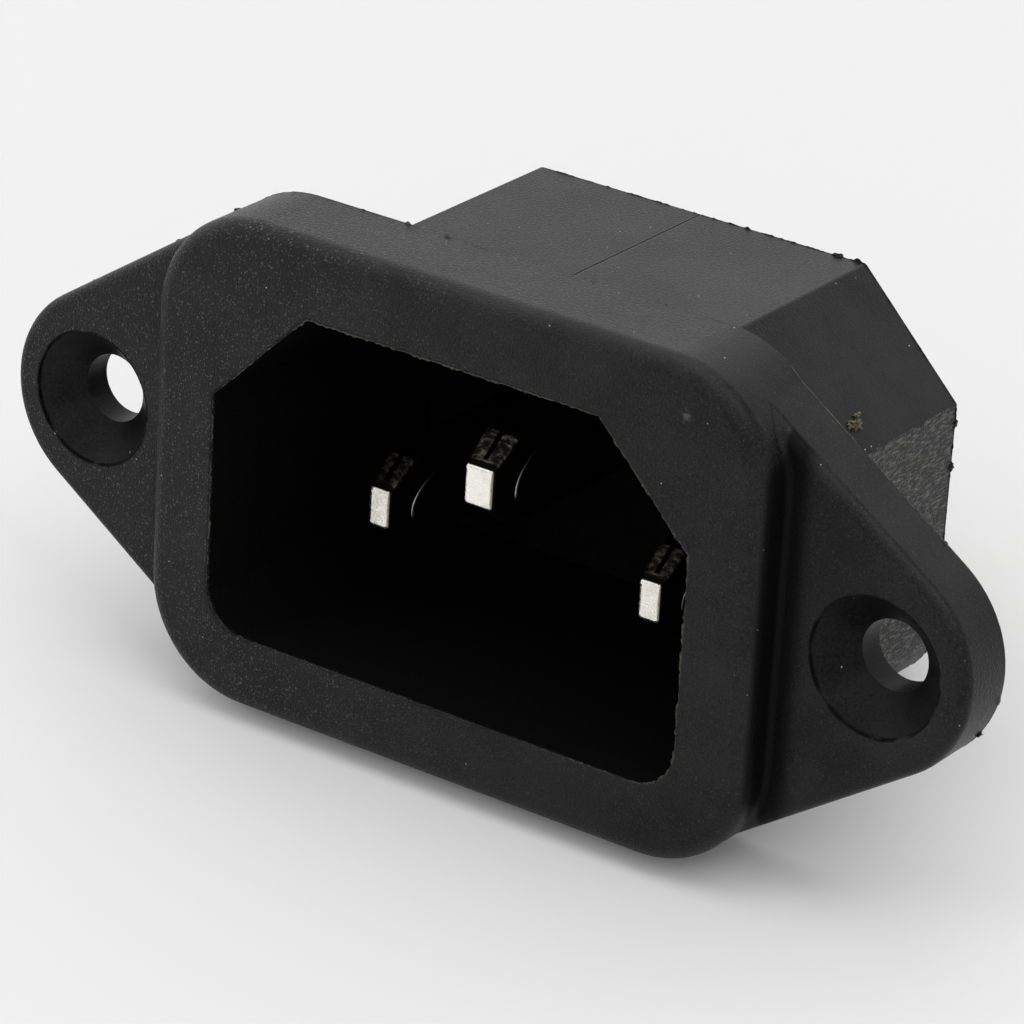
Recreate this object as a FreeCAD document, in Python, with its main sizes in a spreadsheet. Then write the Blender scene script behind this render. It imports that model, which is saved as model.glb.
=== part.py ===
# Appliance inlet for a panel: a moulded housing with two screw wings, a raised collar round a
# keyed socket, and three contact pins folded from strip that end in blade tabs behind the panel.
# Frame: X to the right, Y into the panel, Z up. The origin is the middle of the face that seats
# on the panel, between the two screw holes. All sizes are in millimetres.
import FreeCAD
import Part
import Sketcher
import math
import os

SIZES = [
    # socket
    ("socket_width", 24.1, "mouth of the socket"),
    ("socket_height", 15.45, "mouth of the socket"),
    ("socket_chamfer", 4.7, "the two keyed corners on the earth side"),
    ("socket_corner_radius", 2.0, "the two lower corners"),
    ("socket_depth", 16.0, "front of the collar to the socket floor"),
    ("socket_lip_radius", 0.15, "broken edge round the mouth"),
    # collar
    ("side_rim", 3.35, "collar left and right of the socket"),
    ("top_rim", 3.42, "collar above and below the socket"),
    ("collar_corner_radius", 5.0, "outside corners"),
    ("collar_rise", 1.75, "how far the collar stands in front of the wings"),
    ("collar_edge_radius", 0.85, "rounding of the collar's front edge"),
    ("collar_foot_radius", 0.3, "hollow where the collar meets the wings"),
    # screw wings
    ("screw_pitch", 40.0, "between the two screw holes"),
    ("screw_hole_diameter", 3.1, "clearance hole for the panel screw"),
    ("screw_head_diameter", 6.05, "countersink at the wing's front face"),
    ("countersink_angle", 90.0, "full angle of the countersink cone"),
    ("countersink_step", 0.12, "straight wall ahead of the cone"),
    ("wing_thickness", 2.9, "panel face to the wings' front face"),
    ("wing_end", 4.3, "hole centre to the end of the wing"),
    ("wing_tip_radius", 5.0, "rounding of each wing's end"),
    ("wing_edge_radius", 0.5, "rounding of the wings' front edge"),
    ("wing_inset", 0.1, "how far the wing plate lies inside the collar's outline"),
    # body behind the panel
    ("side_wall", 1.35, "socket wall, left and right"),
    ("top_wall", 1.5, "socket wall on the earth side"),
    ("bottom_wall", 1.3, "socket wall below"),
    ("key_wall", 1.8, "socket wall at the keyed corners"),
    ("floor_thickness", 2.45, "socket floor that holds the pins"),
    ("body_corner_radius", 3.0, "lower corners outside"),
    ("body_edge_radius", 0.25, "rounding of the rear edge and the keyed corners"),
    ("witness_width", 0.14, "mould line along the top of the body"),
    ("witness_depth", 0.06, "mould line along the top of the body"),
    # contact pins
    ("pin_pitch", 14.0, "between the line and neutral pins"),
    ("line_drop", 2.45, "line and neutral pins below the middle of the socket"),
    ("earth_offset", 4.0, "earth pin above the other two"),
    ("pin_thickness", 2.0, "two leaves of strip"),
    ("pin_height", 4.0, "width of the strip"),
    ("strip_edge_radius", 0.3, "rounded long edges of the folded strip"),
    ("fold_gap", 0.24, "slit between the leaves in the socket"),
    ("fold_wall", 0.4, "metal left at the fold"),
    ("line_recess", 5.3, "collar front to the tips of the line and neutral pins"),
    ("earth_recess", 2.55, "collar front to the tip of the earth pin"),
    ("taper_length", 2.7, "tip to where the sides begin to narrow"),
    ("nose_length", 1.5, "tip to where the top and bottom begin to slope"),
    ("nose_flare", 0.28, "how much wider the slope is at its foot than at the tip"),
    ("nose_height", 1.7, "flat of the tip"),
    ("line_nose_width", 1.15, "flat of the tip, line and neutral"),
    ("earth_nose_width", 1.5, "flat of the tip, earth"),
    ("nose_corner_radius", 0.22, "corners of the flat"),
    ("nose_edge_radius", 0.2, "rounding of the flat's edges"),
    ("shoulder_height", 5.6, "stop that seats in the back of the floor"),
    ("shoulder_depth", 1.0, "stop that seats in the back of the floor"),
    # blade tabs
    ("tab_width", 4.8, "blade for a push-on receptacle"),
    ("tab_thickness", 0.8, "blade for a push-on receptacle"),
    ("tab_length", 8.2, "behind the body"),
    ("tab_chamfer", 0.9, "lead-in corners of the blade"),
    ("tab_hole_diameter", 1.5, "wire or latch hole"),
    ("tab_hole_from_tip", 3.4, "end of the blade to the hole"),
]

# sizes and places that follow from the sheet
COLLAR_FRONT = "Sizes.wing_thickness + Sizes.collar_rise"
COLLAR_WIDTH = "Sizes.socket_width + 2 * Sizes.side_rim"
COLLAR_HEIGHT = "Sizes.socket_height + 2 * Sizes.top_rim"
HALF_SOCKET = "Sizes.socket_height / 2"
BODY_LENGTH = f"Sizes.socket_depth + Sizes.floor_thickness - ({COLLAR_FRONT})"
BODY_WIDTH = "Sizes.socket_width + 2 * Sizes.side_wall"
BODY_TOP = "Sizes.socket_height / 2 + Sizes.top_wall"
BODY_BOTTOM = "Sizes.socket_height / 2 + Sizes.bottom_wall"
BODY_CHAMFER = "Sizes.socket_chamfer + Sizes.side_wall + Sizes.top_wall - Sizes.key_wall * sqrt(2)"
BODY_BACK = f"-({BODY_LENGTH})"
SOCKET_FLOOR = f"{COLLAR_FRONT} - Sizes.socket_depth"
LEAF_MIDDLE = "(Sizes.pin_thickness + Sizes.fold_gap) / 4"

# each pin's name, place across and up, recess of its tip and width of its tip
LINE_TIP = ("Sizes.line_recess", "Sizes.line_nose_width")
EARTH_TIP = ("Sizes.earth_recess", "Sizes.earth_nose_width")
PINS = [
    ("line_pin", "Sizes.pin_pitch / 2", "-Sizes.line_drop", *LINE_TIP),
    ("neutral_pin", "-Sizes.pin_pitch / 2", "-Sizes.line_drop", *LINE_TIP),
    ("earth_pin", "0", "Sizes.earth_offset - Sizes.line_drop", *EARTH_TIP),
]

# names for the sketcher's fixed geometry and point positions
ORIGIN = (-1, 1)
X_AXIS, Z_AXIS = (-1, -2)
POINTS = ("whole edge", "start", "end", "centre")
START = POINTS.index("start")
END = POINTS.index("end")
CENTRE = POINTS.index("centre")

SMALL = 1e-4

doc = FreeCAD.newDocument("appliance_inlet")
sheet = doc.addObject("Spreadsheet::Sheet", "Sizes")
for row, (alias, number, meaning) in enumerate(SIZES, start=1):
    sheet.set(f"A{row}", alias)
    sheet.set(f"B{row}", str(number))
    sheet.set(f"C{row}", meaning)
    sheet.setAlias(f"B{row}", alias)
doc.recompute()


def value(expression):
    """Number that an expression on the sheet has now."""
    return float(sheet.evalExpression(expression.replace("Sizes.", "")))


def make_body(label):
    """New empty body with the label that names its file."""
    body = doc.addObject("PartDesign::Body", label)
    body.Label = label
    return body


def make_sketch(body, name, forward="0", across="0", up="0", plane="XZ_Plane"):
    """Sketch on an origin plane, by default the panel face, moved forward, across and up."""
    sketch = body.newObject("Sketcher::SketchObject", name)
    support = next(item for item in body.Origin.OriginFeatures if item.Role == plane)
    sketch.AttachmentSupport = [(support, "")]
    sketch.MapMode = "FlatFace"
    sketch.setExpression("AttachmentOffset.Base.x", across)
    sketch.setExpression("AttachmentOffset.Base.y", up)
    sketch.setExpression("AttachmentOffset.Base.z", forward)
    return sketch


def line(sketch, start, end):
    """Adds a straight edge and gives its index."""
    return sketch.addGeometry(Part.LineSegment(FreeCAD.Vector(*start, 0), FreeCAD.Vector(*end, 0)))


def circle(sketch, centre, radius):
    """Adds a full circle and gives its index."""
    return sketch.addGeometry(Part.Circle(FreeCAD.Vector(*centre, 0), FreeCAD.Vector(0, 0, 1), radius))


def arc(sketch, centre, radius, first, last):
    """Adds an arc that runs anticlockwise from angle first to angle last, in degrees."""
    whole = Part.Circle(FreeCAD.Vector(*centre, 0), FreeCAD.Vector(0, 0, 1), radius)
    return sketch.addGeometry(Part.ArcOfCircle(whole, math.radians(first), math.radians(last)))


def tie(sketch, kind, *places):
    """Adds a geometric constraint."""
    sketch.addConstraint(Sketcher.Constraint(kind, *places))


def drive(sketch, name, expression, kind, *places):
    """Adds a named dimension that follows an expression on the sheet."""
    index = sketch.addConstraint(Sketcher.Constraint(kind, *places, value(expression)))
    sketch.renameConstraint(index, name)
    sketch.setExpression(f"Constraints.{name}", expression)


def close_outline(sketch, sides, smooth):
    """Joins each side to the next, tangent after the sides whose positions are in smooth."""
    for i, side in enumerate(sides):
        joint = "Tangent" if i in smooth else "Coincident"
        tie(sketch, joint, side, END, sides[(i + 1) % len(sides)], START)


def draw_rectangle(sketch, width, height):
    """Rectangle centred on the sketch's origin."""
    x, z = value(width) / 2, value(height) / 2
    corners = [(-x, -z), (x, -z), (x, z), (-x, z)]
    sides = [line(sketch, corners[i], corners[(i + 1) % 4]) for i in range(4)]
    close_outline(sketch, sides, smooth=())
    for side, kind in zip(sides, ("Horizontal", "Vertical", "Horizontal", "Vertical")):
        tie(sketch, kind, side)
    tie(sketch, "Symmetric", sides[0], START, sides[1], END, *ORIGIN)
    drive(sketch, "width", width, "DistanceX", sides[0], START, sides[0], END)
    drive(sketch, "height", height, "DistanceY", sides[1], START, sides[1], END)


def draw_rounded_rectangle(sketch, width, height, radius):
    """Rectangle with four equal round corners, centred on the sketch's origin."""
    r = value(radius)
    x, z = value(width) / 2 - r, value(height) / 2 - r
    sides = [
        line(sketch, (-x, -z - r), (x, -z - r)),
        arc(sketch, (x, -z), r, 270, 360),
        line(sketch, (x + r, -z), (x + r, z)),
        arc(sketch, (x, z), r, 0, 90),
        line(sketch, (x, z + r), (-x, z + r)),
        arc(sketch, (-x, z), r, 90, 180),
        line(sketch, (-x - r, z), (-x - r, -z)),
        arc(sketch, (-x, -z), r, 180, 270),
    ]
    close_outline(sketch, sides, smooth=range(8))
    for i, kind in ((0, "Horizontal"), (2, "Vertical"), (4, "Horizontal"), (6, "Vertical")):
        tie(sketch, kind, sides[i])
    for i in (3, 5, 7):
        tie(sketch, "Equal", sides[1], sides[i])
    tie(sketch, "Symmetric", sides[3], CENTRE, sides[7], CENTRE, *ORIGIN)
    drive(sketch, "radius", radius, "Radius", sides[1])
    drive(sketch, "width", width, "DistanceX", sides[6], START, sides[2], START)
    drive(sketch, "height", height, "DistanceY", sides[0], START, sides[4], START)


def draw_strip_section(sketch):
    """Section of the folded strip, the same in each pin and in its slot."""
    draw_rounded_rectangle(sketch, "Sizes.pin_thickness", "Sizes.pin_height", "Sizes.strip_edge_radius")


def draw_wing_plate(sketch):
    """Outline that runs tangent from the collar's four corners to the two round wing ends."""
    corner = "Sizes.collar_corner_radius - Sizes.wing_inset"
    corner_x = f"({COLLAR_WIDTH}) / 2 - Sizes.collar_corner_radius"
    corner_z = f"({COLLAR_HEIGHT}) / 2 - Sizes.collar_corner_radius"
    tip_x = "Sizes.screw_pitch / 2 + Sizes.wing_end - Sizes.wing_tip_radius"
    r, x, z = value(corner), value(corner_x), value(corner_z)
    tip, far = value("Sizes.wing_tip_radius"), value(tip_x)
    slope = math.atan2(z, far - x) + math.asin((tip - r) / math.hypot(far - x, z))
    lean = 90 - math.degrees(slope)
    touch_x, touch_z = math.sin(slope), math.cos(slope)

    def diagonal(side_x, side_z, outward):
        inner = (side_x * (x + r * touch_x), side_z * (z + r * touch_z))
        outer = (side_x * (far + tip * touch_x), side_z * tip * touch_z)
        return line(sketch, inner, outer) if outward else line(sketch, outer, inner)

    sides = [
        arc(sketch, (far, 0), tip, -lean, lean),
        diagonal(1, 1, False),
        arc(sketch, (x, z), r, lean, 90),
        line(sketch, (x, z + r), (-x, z + r)),
        arc(sketch, (-x, z), r, 90, 180 - lean),
        diagonal(-1, 1, True),
        arc(sketch, (-far, 0), tip, 180 - lean, 180 + lean),
        diagonal(-1, -1, False),
        arc(sketch, (-x, -z), r, 180 + lean, 270),
        line(sketch, (-x, -z - r), (x, -z - r)),
        arc(sketch, (x, -z), r, 270, 360 - lean),
        diagonal(1, -1, True),
    ]
    close_outline(sketch, sides, smooth=range(12))
    tie(sketch, "Equal", sides[0], sides[6])
    for i in (4, 8, 10):
        tie(sketch, "Equal", sides[2], sides[i])
    tie(sketch, "PointOnObject", sides[0], CENTRE, X_AXIS)
    tie(sketch, "Symmetric", sides[6], CENTRE, sides[0], CENTRE, *ORIGIN)
    tie(sketch, "Symmetric", sides[4], CENTRE, sides[2], CENTRE, Z_AXIS)
    tie(sketch, "Symmetric", sides[10], CENTRE, sides[2], CENTRE, X_AXIS)
    tie(sketch, "Symmetric", sides[8], CENTRE, sides[2], CENTRE, *ORIGIN)
    drive(sketch, "tip", "Sizes.wing_tip_radius", "Radius", sides[0])
    drive(sketch, "corner", corner, "Radius", sides[2])
    drive(sketch, "tip_x", tip_x, "DistanceX", *ORIGIN, sides[0], CENTRE)
    drive(sketch, "corner_x", corner_x, "DistanceX", *ORIGIN, sides[2], CENTRE)
    drive(sketch, "corner_z", corner_z, "DistanceY", *ORIGIN, sides[2], CENTRE)


def draw_keyed_outline(sketch, width, above, below, chamfer, radius):
    """Outline with two chamfered upper corners and two round lower corners."""
    half, top, bottom = value(width) / 2, value(above), -value(below)
    cut, r = value(chamfer), value(radius)
    sides = [
        line(sketch, (half - cut, top), (-half + cut, top)),
        line(sketch, (-half + cut, top), (-half, top - cut)),
        line(sketch, (-half, top - cut), (-half, bottom + r)),
        arc(sketch, (-half + r, bottom + r), r, 180, 270),
        line(sketch, (-half + r, bottom), (half - r, bottom)),
        arc(sketch, (half - r, bottom + r), r, 270, 360),
        line(sketch, (half, bottom + r), (half, top - cut)),
        line(sketch, (half, top - cut), (half - cut, top)),
    ]
    close_outline(sketch, sides, smooth=(2, 3, 4, 5))
    for i, kind in ((2, "Vertical"), (4, "Horizontal"), (6, "Vertical")):
        tie(sketch, kind, sides[i])
    tie(sketch, "Equal", sides[3], sides[5])
    tie(sketch, "Symmetric", sides[0], START, sides[0], END, Z_AXIS)
    tie(sketch, "Symmetric", sides[1], END, sides[7], START, Z_AXIS)
    drive(sketch, "width", width, "DistanceX", sides[1], END, sides[7], START)
    drive(sketch, "above", above, "DistanceY", *ORIGIN, sides[0], END)
    drive(sketch, "below", below, "DistanceY", sides[4], START, *ORIGIN)
    drive(sketch, "cut_x", chamfer, "DistanceX", sides[1], END, sides[1], START)
    drive(sketch, "cut_z", chamfer, "DistanceY", sides[1], END, sides[1], START)
    drive(sketch, "corner", radius, "Radius", sides[3])


def draw_circle_pair(sketch, diameter):
    """Two equal circles at the places of the screws."""
    far, radius = value("Sizes.screw_pitch") / 2, value(diameter) / 2
    left = circle(sketch, (-far, 0), radius)
    right = circle(sketch, (far, 0), radius)
    tie(sketch, "Equal", left, right)
    tie(sketch, "PointOnObject", right, CENTRE, X_AXIS)
    tie(sketch, "Symmetric", left, CENTRE, right, CENTRE, *ORIGIN)
    drive(sketch, "pitch", "Sizes.screw_pitch", "DistanceX", left, CENTRE, right, CENTRE)
    drive(sketch, "bore", diameter, "Diameter", right)


def pad(body, sketch, name, length, backward=False):
    """Grows a sketch forward, or backward into the panel."""
    feature = body.newObject("PartDesign::Pad", name)
    feature.Profile = sketch
    feature.setExpression("Length", length)
    feature.Reversed = backward
    doc.recompute()
    return feature


def pocket(body, sketch, name, length, forward=False):
    """Cuts a sketch backward into the panel, or forward out of it."""
    feature = body.newObject("PartDesign::Pocket", name)
    feature.Profile = sketch
    feature.setExpression("Length", length)
    feature.Reversed = forward
    doc.recompute()
    return feature


def edges_of(base, wanted):
    """Names of the edges of a feature for which wanted(edge) is true."""
    return [f"Edge{i}" for i, edge in enumerate(base.Shape.Edges, start=1) if wanted(edge)]


def round_edges(body, base, name, radius, wanted):
    """Rounds the edges of base for which wanted(edge) is true."""
    feature = body.newObject("PartDesign::Fillet", name)
    feature.Base = (base, edges_of(base, wanted))
    feature.setExpression("Radius", radius)
    doc.recompute()
    return feature


def in_plane(edge, y):
    """True if an edge lies in the plane parallel to the panel at that Y."""
    box = edge.BoundBox
    return abs(box.YMin - y) < SMALL and abs(box.YMax - y) < SMALL


def build_housing():
    """Moulded housing: wings, collar, socket and the body behind the panel, in one piece."""
    body = make_body("housing")
    grow_wings(body)
    grow_collar(body)
    grow_body(body)
    cut_socket(body)
    cut_screw_holes(body)
    for name, across, up, _, _ in PINS:
        cut_pin_seat(body, name, across, up)
    cut_witness_line(body)
    return body


def grow_wings(body):
    """Plate that carries both screw holes."""
    sketch = make_sketch(body, "wing_outline")
    draw_wing_plate(sketch)
    plate = pad(body, sketch, "wing_plate", "Sizes.wing_thickness")
    front = -value("Sizes.wing_thickness")
    round_edges(body, plate, "wing_edge", "Sizes.wing_edge_radius", lambda edge: in_plane(edge, front))


def grow_collar(body):
    """Frame that stands in front of the wings round the socket."""
    sketch = make_sketch(body, "collar_outline")
    draw_rounded_rectangle(sketch, COLLAR_WIDTH, COLLAR_HEIGHT, "Sizes.collar_corner_radius")
    collar = pad(body, sketch, "collar", COLLAR_FRONT)
    front = -value(COLLAR_FRONT)
    radius = "Sizes.collar_edge_radius"
    rounded = round_edges(body, collar, "collar_edge", radius, lambda edge: in_plane(edge, front))
    foot = -value("Sizes.wing_thickness")
    side = value(COLLAR_WIDTH) / 2

    def on_foot(edge):
        return in_plane(edge, foot) and max(abs(edge.BoundBox.XMin), edge.BoundBox.XMax) < side + SMALL

    round_edges(body, rounded, "collar_foot", "Sizes.collar_foot_radius", on_foot)


def grow_body(body):
    """Keyed block that passes through the panel."""
    sketch = make_sketch(body, "body_outline")
    radius = "Sizes.body_corner_radius"
    draw_keyed_outline(sketch, BODY_WIDTH, BODY_TOP, BODY_BOTTOM, BODY_CHAMFER, radius)
    block = pad(body, sketch, "body_behind_panel", BODY_LENGTH, backward=True)
    rear = value(BODY_LENGTH)

    def on_outside(edge):
        box = edge.BoundBox
        along = box.YLength > rear - SMALL and box.XLength < SMALL and box.ZMin > 0
        return along or in_plane(edge, rear)

    round_edges(body, block, "body_edge", "Sizes.body_edge_radius", on_outside)


def cut_socket(body):
    """Keyed hollow for the connector, with a broken edge at its mouth."""
    sketch = make_sketch(body, "socket_outline", COLLAR_FRONT)
    chamfer, radius = "Sizes.socket_chamfer", "Sizes.socket_corner_radius"
    draw_keyed_outline(sketch, "Sizes.socket_width", HALF_SOCKET, HALF_SOCKET, chamfer, radius)
    socket = pocket(body, sketch, "socket", "Sizes.socket_depth")
    front = -value(COLLAR_FRONT)
    half_width = value("Sizes.socket_width") / 2
    half_height = value(HALF_SOCKET)

    def on_mouth(edge):
        box = edge.BoundBox
        inside = box.XMax < half_width + SMALL and box.XMin > -half_width - SMALL
        level = box.ZMax < half_height + SMALL and box.ZMin > -half_height - SMALL
        return in_plane(edge, front) and inside and level

    round_edges(body, socket, "socket_lip", "Sizes.socket_lip_radius", on_mouth)


def cut_screw_holes(body):
    """Countersunk clearance holes through both wings, each with a straight rim ahead of its cone."""
    sketch = make_sketch(body, "screw_rims_outline", "Sizes.wing_thickness")
    draw_circle_pair(sketch, "Sizes.screw_head_diameter")
    pocket(body, sketch, "screw_rims", "Sizes.countersink_step")
    sketch = make_sketch(body, "screw_holes_outline", "Sizes.wing_thickness - Sizes.countersink_step")
    draw_circle_pair(sketch, "Sizes.screw_hole_diameter")
    doc.recompute()
    holes = body.newObject("PartDesign::Hole", "screw_holes")
    holes.Profile = sketch
    holes.DepthType = "ThroughAll"
    holes.HoleCutType = "Countersink"
    holes.setExpression("Diameter", "Sizes.screw_hole_diameter")
    holes.setExpression("HoleCutDiameter", "Sizes.screw_head_diameter")
    holes.setExpression("HoleCutCountersinkAngle", "Sizes.countersink_angle")
    doc.recompute()


def cut_pin_seat(body, name, across, up):
    """Slot through the socket floor for one pin, and the recess for its shoulder behind it."""
    sketch = make_sketch(body, f"{name}_slot_outline", BODY_BACK, across, up)
    draw_strip_section(sketch)
    pocket(body, sketch, f"{name}_slot", "Sizes.floor_thickness", forward=True)
    sketch = make_sketch(body, f"{name}_recess_outline", BODY_BACK, across, up)
    draw_rectangle(sketch, "Sizes.pin_thickness", "Sizes.shoulder_height")
    pocket(body, sketch, f"{name}_recess", "Sizes.shoulder_depth", forward=True)


def cut_witness_line(body):
    """Fine mould line along the middle of the body's top face."""
    sketch = make_sketch(body, "witness_outline", BODY_BACK, up=BODY_TOP)
    draw_rectangle(sketch, "Sizes.witness_width", "2 * Sizes.witness_depth")
    pocket(body, sketch, "witness_line", BODY_LENGTH, forward=True)


def build_pin(name, across, up, recess, nose_width):
    """Contact pin: strip folded back on itself at the tip, one leaf running on as the blade tab."""
    body = make_body(name)
    tip = f"{COLLAR_FRONT} - {recess}"
    grow_strip(body, name, tip, nose_width)
    sketch = make_sketch(body, f"{name}_shoulder_outline", BODY_BACK)
    draw_rectangle(sketch, "Sizes.pin_thickness", "Sizes.shoulder_height")
    pad(body, sketch, f"{name}_shoulder", "Sizes.shoulder_depth")
    sketch = make_sketch(body, f"{name}_slit_outline", SOCKET_FLOOR)
    draw_rectangle(sketch, "Sizes.fold_gap", "2 * Sizes.pin_height")
    pocket(body, sketch, f"{name}_slit", f"{tip} - Sizes.fold_wall - ({SOCKET_FLOOR})", forward=True)
    grow_tab(body, name)
    body.setExpression("Placement.Base.x", across)
    body.setExpression("Placement.Base.z", up)
    return body


def grow_strip(body, name, tip, nose_width):
    """The folded strip from the back of the floor to its coined nose."""
    taper = f"{tip} - Sizes.taper_length"
    sketch = make_sketch(body, f"{name}_strip_outline", taper)
    draw_strip_section(sketch)
    pad(body, sketch, f"{name}_strip", f"{taper} + {BODY_LENGTH}", backward=True)
    base = make_sketch(body, f"{name}_nose_base", taper)
    draw_strip_section(base)
    slope = make_sketch(body, f"{name}_nose_slope", f"{tip} - Sizes.nose_length")
    foot_width = f"{nose_width} + Sizes.nose_flare"
    draw_rounded_rectangle(slope, foot_width, "Sizes.pin_height", "Sizes.strip_edge_radius")
    flat = make_sketch(body, f"{name}_nose_flat", tip)
    draw_rounded_rectangle(flat, nose_width, "Sizes.nose_height", "Sizes.nose_corner_radius")
    doc.recompute()
    nose = body.newObject("PartDesign::AdditiveLoft", f"{name}_nose")
    nose.Profile = base
    nose.Sections = [slope, flat]
    nose.Ruled = True
    doc.recompute()
    front = -value(tip)
    radius = "Sizes.nose_edge_radius"
    round_edges(body, nose, f"{name}_nose_edge", radius, lambda edge: in_plane(edge, front))


def grow_tab(body, name):
    """Blade behind the body, with lead-in corners and a hole."""
    sketch = make_sketch(body, f"{name}_tab_outline", BODY_BACK, across=LEAF_MIDDLE)
    draw_rectangle(sketch, "Sizes.tab_thickness", "Sizes.tab_width")
    tab = pad(body, sketch, f"{name}_tab", "Sizes.tab_length", backward=True)
    end = value(f"{BODY_LENGTH} + Sizes.tab_length")
    lead = body.newObject("PartDesign::Chamfer", f"{name}_tab_lead")
    lead.Base = (tab, edges_of(tab, lambda edge: in_plane(edge, end) and edge.BoundBox.ZLength < SMALL))
    lead.setExpression("Size", "Sizes.tab_chamfer")
    doc.recompute()
    sketch = make_sketch(body, f"{name}_tab_hole_outline", plane="YZ_Plane")
    from_panel = f"{BODY_LENGTH} + Sizes.tab_length - Sizes.tab_hole_from_tip"
    bore = circle(sketch, (value(from_panel), 0), value("Sizes.tab_hole_diameter") / 2)
    tie(sketch, "PointOnObject", bore, CENTRE, X_AXIS)
    drive(sketch, "from_panel", from_panel, "DistanceX", *ORIGIN, bore, CENTRE)
    drive(sketch, "bore", "Sizes.tab_hole_diameter", "Diameter", bore)
    hole = body.newObject("PartDesign::Pocket", f"{name}_tab_hole")
    hole.Profile = sketch
    hole.Type = "ThroughAll"
    hole.Midplane = True
    doc.recompute()


def check(parts):
    """Stops the build if an object failed, a cut removed nothing or a sub-part is not one sound solid."""
    for item in doc.Objects:
        if "Invalid" in item.State or "Error" in item.State:
            raise RuntimeError(f"{item.Label} failed: {item.State}")
        if item.TypeId == "Sketcher::SketchObject" and not item.FullyConstrained:
            raise RuntimeError(f"{item.Label} is not fully constrained")
        if item.TypeId in ("PartDesign::Pocket", "PartDesign::Hole"):
            if item.Shape.Volume >= item.BaseFeature.Shape.Volume - SMALL:
                raise RuntimeError(f"{item.Label} cut nothing")
    for part in parts:
        shape = part.Shape
        if shape.isNull() or not shape.isValid() or len(shape.Solids) != 1:
            raise RuntimeError(f"{part.Label} is not one sound solid")


def main():
    """Builds every sub-part, checks it and writes its file."""
    parts = [build_housing()]
    for pin in PINS:
        parts.append(build_pin(*pin))
    doc.recompute()
    check(parts)
    os.makedirs("parts", exist_ok=True)
    for part in parts:
        part.Shape.exportStep(f"parts/{part.Label}.step")
        print(part.Label, round(part.Shape.Volume, 2), "cubic millimetres")


main()
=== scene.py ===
"""Panel-mount appliance inlet: finishes of the moulded housing and plated pins, and the studio."""
import logging
import math
from dataclasses import dataclass, field, replace
from enum import Enum
from functools import reduce
from typing import Callable, Optional

import bmesh
import bpy
from mathutils import Matrix, Vector, noise
from mathutils.bvhtree import BVHTree


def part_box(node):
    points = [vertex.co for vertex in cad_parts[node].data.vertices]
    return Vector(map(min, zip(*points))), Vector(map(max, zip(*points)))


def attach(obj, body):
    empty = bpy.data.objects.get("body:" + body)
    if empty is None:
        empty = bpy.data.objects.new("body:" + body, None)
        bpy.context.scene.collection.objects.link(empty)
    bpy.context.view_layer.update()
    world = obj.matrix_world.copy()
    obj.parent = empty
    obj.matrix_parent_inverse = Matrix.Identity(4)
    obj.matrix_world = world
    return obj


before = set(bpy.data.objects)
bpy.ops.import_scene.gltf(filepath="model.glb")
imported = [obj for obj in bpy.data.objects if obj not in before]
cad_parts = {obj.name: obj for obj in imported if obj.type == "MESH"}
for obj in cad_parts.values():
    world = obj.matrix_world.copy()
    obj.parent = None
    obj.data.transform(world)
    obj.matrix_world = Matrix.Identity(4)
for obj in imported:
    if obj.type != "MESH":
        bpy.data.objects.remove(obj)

LOG = logging.getLogger("appliance_inlet")
MM = 0.001
ROOT = "root"
Socket = bpy.types.NodeSocket
Sockets = bpy.types.bpy_prop_collection
Colour = tuple[float, float, float, float]
Triple = tuple[float, float, float]


@dataclass(frozen=True)
class Ramp:
    """A smooth change from start to end while a value goes from low to high."""

    low: float
    high: float
    start: float = 0.0
    end: float = 1.0


@dataclass(frozen=True)
class Pattern:
    """A noise texture: cells per millimetre, octaves, strength of the finer ones, scale on each axis."""

    per_mm: float
    detail: float = 2.0
    roughness: float = 0.5
    stretch: Triple = (1.0, 1.0, 1.0)


@dataclass(frozen=True)
class Specks:
    """Scattered round specks: cells per millimetre, radius in cells, and share of empty cells.

    A speck is full over its core share of the radius, and the rarity has a soft step of some width.
    """

    per_mm: float
    radius: float
    rarity: float
    core_share: float = 0.55
    rarity_width: float = 0.04


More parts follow.
